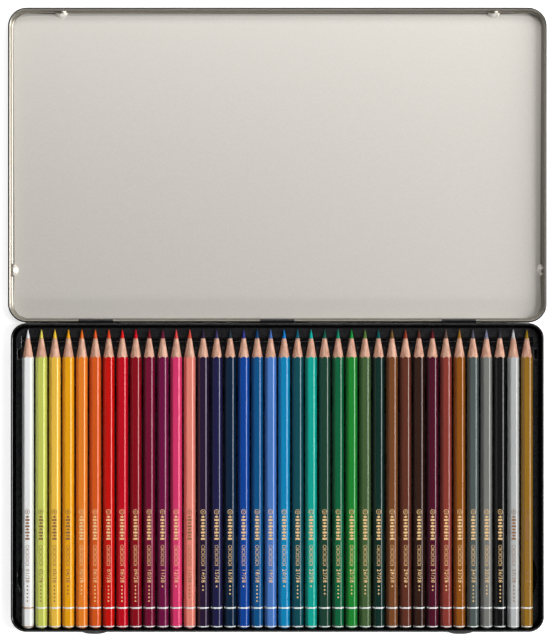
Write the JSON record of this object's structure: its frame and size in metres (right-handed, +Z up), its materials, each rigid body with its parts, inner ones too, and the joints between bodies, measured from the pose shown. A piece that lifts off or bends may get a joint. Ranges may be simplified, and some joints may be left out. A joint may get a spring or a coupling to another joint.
{
  "type": "colored pencil tin",
  "caption": "Flat hinged metal tin with a formed black tray holding a single row of hexagonal colored pencils; the lid folds right back.",
  "frame": {"origin": "middle of the base's underside, on the table", "axes": "+X along the row of pencils to the right, +Y along the pencils to their points, the hinge and the open lid, +Z up"},
  "size_m": [0.3148, 0.3665, 0.0104],
  "materials": {
    "black_lacquer": "gloss black tin lacquer",
    "bare_tinplate": "satin, fine grain",
    "black_tray": "semi-gloss formed sheet",
    "paint_white": "gloss lacquer on wood",
    "paint_lime": "gloss lacquer on wood",
    "paint_yellow": "gloss lacquer on wood",
    "paint_golden_yellow": "gloss lacquer on wood",
    "paint_orange": "gloss lacquer on wood",
    "paint_vermilion": "gloss lacquer on wood",
    "paint_scarlet": "gloss lacquer on wood",
    "paint_carmine": "gloss lacquer on wood",
    "paint_dark_carmine": "gloss lacquer on wood",
    "paint_plum": "gloss lacquer on wood",
    "paint_magenta": "gloss lacquer on wood",
    "paint_pink": "gloss lacquer on wood",
    "paint_salmon": "gloss lacquer on wood",
    "paint_dark_violet": "gloss lacquer on wood",
    "paint_indigo": "gloss lacquer on wood",
    "paint_navy": "gloss lacquer on wood",
    "paint_royal_blue": "gloss lacquer on wood",
    "paint_petrol": "gloss lacquer on wood",
    "paint_periwinkle": "gloss lacquer on wood",
    "paint_cerulean": "gloss lacquer on wood",
    "paint_dark_teal": "gloss lacquer on wood",
    "paint_turquoise": "gloss lacquer on wood",
    "paint_dark_green": "gloss lacquer on wood",
    "paint_green": "gloss lacquer on wood",
    "paint_bright_green": "gloss lacquer on wood",
    "paint_olive": "gloss lacquer on wood",
    "paint_bottle_green": "gloss lacquer on wood",
    "paint_brown": "gloss lacquer on wood",
    "paint_sienna": "gloss lacquer on wood",
    "paint_dark_brown": "gloss lacquer on wood",
    "paint_burgundy": "gloss lacquer on wood",
    "paint_brick": "gloss lacquer on wood",
    "paint_ochre": "gloss lacquer on wood",
    "paint_slate": "gloss lacquer on wood",
    "paint_grey": "gloss lacquer on wood",
    "paint_black": "gloss lacquer on wood",
    "paint_silver": "gloss lacquer on wood",
    "paint_gold": "gloss lacquer on wood"
  },
  "bodies": {
    "base": {"base_pan": "black_lacquer"},
    "lid": {"lid": "bare_tinplate"},
    "tray": {"tray": "black_tray"},
    "pencil_01": {"pencil_01": "paint_white"},
    "pencil_02": {"pencil_02": "paint_lime"},
    "pencil_03": {"pencil_03": "paint_yellow"},
    "pencil_04": {"pencil_04": "paint_golden_yellow"},
    "pencil_05": {"pencil_05": "paint_orange"},
    "pencil_06": {"pencil_06": "paint_vermilion"},
    "pencil_07": {"pencil_07": "paint_scarlet"},
    "pencil_08": {"pencil_08": "paint_carmine"},
    "pencil_09": {"pencil_09": "paint_dark_carmine"},
    "pencil_10": {"pencil_10": "paint_plum"},
    "pencil_11": {"pencil_11": "paint_magenta"},
    "pencil_12": {"pencil_12": "paint_pink"},
    "pencil_13": {"pencil_13": "paint_salmon"},
    "pencil_14": {"pencil_14": "paint_dark_violet"},
    "pencil_15": {"pencil_15": "paint_indigo"},
    "pencil_16": {"pencil_16": "paint_navy"},
    "pencil_17": {"pencil_17": "paint_royal_blue"},
    "pencil_18": {"pencil_18": "paint_petrol"},
    "pencil_19": {"pencil_19": "paint_periwinkle"},
    "pencil_20": {"pencil_20": "paint_cerulean"},
    "pencil_21": {"pencil_21": "paint_dark_teal"},
    "pencil_22": {"pencil_22": "paint_turquoise"},
    "pencil_23": {"pencil_23": "paint_dark_green"},
    "pencil_24": {"pencil_24": "paint_green"},
    "pencil_25": {"pencil_25": "paint_bright_green"},
    "pencil_26": {"pencil_26": "paint_olive"},
    "pencil_27": {"pencil_27": "paint_bottle_green"},
    "pencil_28": {"pencil_28": "paint_brown"},
    "pencil_29": {"pencil_29": "paint_sienna"},
    "pencil_30": {"pencil_30": "paint_dark_brown"},
    "pencil_31": {"pencil_31": "paint_burgundy"},
    "pencil_32": {"pencil_32": "paint_brick"},
    "pencil_33": {"pencil_33": "paint_ochre"},
    "pencil_34": {"pencil_34": "paint_slate"},
    "pencil_35": {"pencil_35": "paint_grey"},
    "pencil_36": {"pencil_36": "paint_black"},
    "pencil_37": {"pencil_37": "paint_silver"},
    "pencil_38": {"pencil_38": "paint_gold"}
  },
  "joints": [
    {"name": "lid_hinge", "type": "hinge", "parent": "base", "child": "lid", "pos_m": [0, 0.0912, 0.00702], "axis": [-1, 0, 0], "range_deg": [-180, 0]},
    {"name": "inner_tray_lift", "type": "slide", "parent": "base", "child": "tray", "axis": [0, 0, 1], "range_m": [0, 0.04]},
    {"name": "pencil_01_lift", "type": "slide", "parent": "tray", "child": "pencil_01", "axis": [0, 0, 1], "range_m": [0, 0.06]},
    {"name": "pencil_02_lift", "type": "slide", "parent": "tray", "child": "pencil_02", "axis": [0, 0, 1], "range_m": [0, 0.06]},
    {"name": "pencil_03_lift", "type": "slide", "parent": "tray", "child": "pencil_03", "axis": [0, 0, 1], "range_m": [0, 0.06]},
    {"name": "pencil_04_lift", "type": "slide", "parent": "tray", "child": "pencil_04", "axis": [0, 0, 1], "range_m": [0, 0.06]},
    {"name": "pencil_05_lift", "type": "slide", "parent": "tray", "child": "pencil_05", "axis": [0, 0, 1], "range_m": [0, 0.06]},
    {"name": "pencil_06_lift", "type": "slide", "parent": "tray", "child": "pencil_06", "axis": [0, 0, 1], "range_m": [0, 0.06]},
    {"name": "pencil_07_lift", "type": "slide", "parent": "tray", "child": "pencil_07", "axis": [0, 0, 1], "range_m": [0, 0.06]},
    {"name": "pencil_08_lift", "type": "slide", "parent": "tray", "child": "pencil_08", "axis": [0, 0, 1], "range_m": [0, 0.06]},
    {"name": "pencil_09_lift", "type": "slide", "parent": "tray", "child": "pencil_09", "axis": [0, 0, 1], "range_m": [0, 0.06]},
    {"name": "pencil_10_lift", "type": "slide", "parent": "tray", "child": "pencil_10", "axis": [0, 0, 1], "range_m": [0, 0.06]},
    {"name": "pencil_11_lift", "type": "slide", "parent": "tray", "child": "pencil_11", "axis": [0, 0, 1], "range_m": [0, 0.06]},
    {"name": "pencil_12_lift", "type": "slide", "parent": "tray", "child": "pencil_12", "axis": [0, 0, 1], "range_m": [0, 0.06]},
    {"name": "pencil_13_lift", "type": "slide", "parent": "tray", "child": "pencil_13", "axis": [0, 0, 1], "range_m": [0, 0.06]},
    {"name": "pencil_14_lift", "type": "slide", "parent": "tray", "child": "pencil_14", "axis": [0, 0, 1], "range_m": [0, 0.06]},
    {"name": "pencil_15_lift", "type": "slide", "parent": "tray", "child": "pencil_15", "axis": [0, 0, 1], "range_m": [0, 0.06]},
    {"name": "pencil_16_lift", "type": "slide", "parent": "tray", "child": "pencil_16", "axis": [0, 0, 1], "range_m": [0, 0.06]},
    {"name": "pencil_17_lift", "type": "slide", "parent": "tray", "child": "pencil_17", "axis": [0, 0, 1], "range_m": [0, 0.06]},
    {"name": "pencil_18_lift", "type": "slide", "parent": "tray", "child": "pencil_18", "axis": [0, 0, 1], "range_m": [0, 0.06]},
    {"name": "pencil_19_lift", "type": "slide", "parent": "tray", "child": "pencil_19", "axis": [0, 0, 1], "range_m": [0, 0.06]},
    {"name": "pencil_20_lift", "type": "slide", "parent": "tray", "child": "pencil_20", "axis": [0, 0, 1], "range_m": [0, 0.06]},
    {"name": "pencil_21_lift", "type": "slide", "parent": "tray", "child": "pencil_21", "axis": [0, 0, 1], "range_m": [0, 0.06]},
    {"name": "pencil_22_lift", "type": "slide", "parent": "tray", "child": "pencil_22", "axis": [0, 0, 1], "range_m": [0, 0.06]},
    {"name": "pencil_23_lift", "type": "slide", "parent": "tray", "child": "pencil_23", "axis": [0, 0, 1], "range_m": [0, 0.06]},
    {"name": "pencil_24_lift", "type": "slide", "parent": "tray", "child": "pencil_24", "axis": [0, 0, 1], "range_m": [0, 0.06]},
    {"name": "pencil_25_lift", "type": "slide", "parent": "tray", "child": "pencil_25", "axis": [0, 0, 1], "range_m": [0, 0.06]},
    {"name": "pencil_26_lift", "type": "slide", "parent": "tray", "child": "pencil_26", "axis": [0, 0, 1], "range_m": [0, 0.06]},
    {"name": "pencil_27_lift", "type": "slide", "parent": "tray", "child": "pencil_27", "axis": [0, 0, 1], "range_m": [0, 0.06]},
    {"name": "pencil_28_lift", "type": "slide", "parent": "tray", "child": "pencil_28", "axis": [0, 0, 1], "range_m": [0, 0.06]},
    {"name": "pencil_29_lift", "type": "slide", "parent": "tray", "child": "pencil_29", "axis": [0, 0, 1], "range_m": [0, 0.06]},
    {"name": "pencil_30_lift", "type": "slide", "parent": "tray", "child": "pencil_30", "axis": [0, 0, 1], "range_m": [0, 0.06]},
    {"name": "pencil_31_lift", "type": "slide", "parent": "tray", "child": "pencil_31", "axis": [0, 0, 1], "range_m": [0, 0.06]},
    {"name": "pencil_32_lift", "type": "slide", "parent": "tray", "child": "pencil_32", "axis": [0, 0, 1], "range_m": [0, 0.06]},
    {"name": "pencil_33_lift", "type": "slide", "parent": "tray", "child": "pencil_33", "axis": [0, 0, 1], "range_m": [0, 0.06]},
    {"name": "pencil_34_lift", "type": "slide", "parent": "tray", "child": "pencil_34", "axis": [0, 0, 1], "range_m": [0, 0.06]},
    {"name": "pencil_35_lift", "type": "slide", "parent": "tray", "child": "pencil_35", "axis": [0, 0, 1], "range_m": [0, 0.06]},
    {"name": "pencil_36_lift", "type": "slide", "parent": "tray", "child": "pencil_36", "axis": [0, 0, 1], "range_m": [0, 0.06]},
    {"name": "pencil_37_lift", "type": "slide", "parent": "tray", "child": "pencil_37", "axis": [0, 0, 1], "range_m": [0, 0.06]},
    {"name": "pencil_38_lift", "type": "slide", "parent": "tray", "child": "pencil_38", "axis": [0, 0, 1], "range_m": [0, 0.06]}
  ]
}
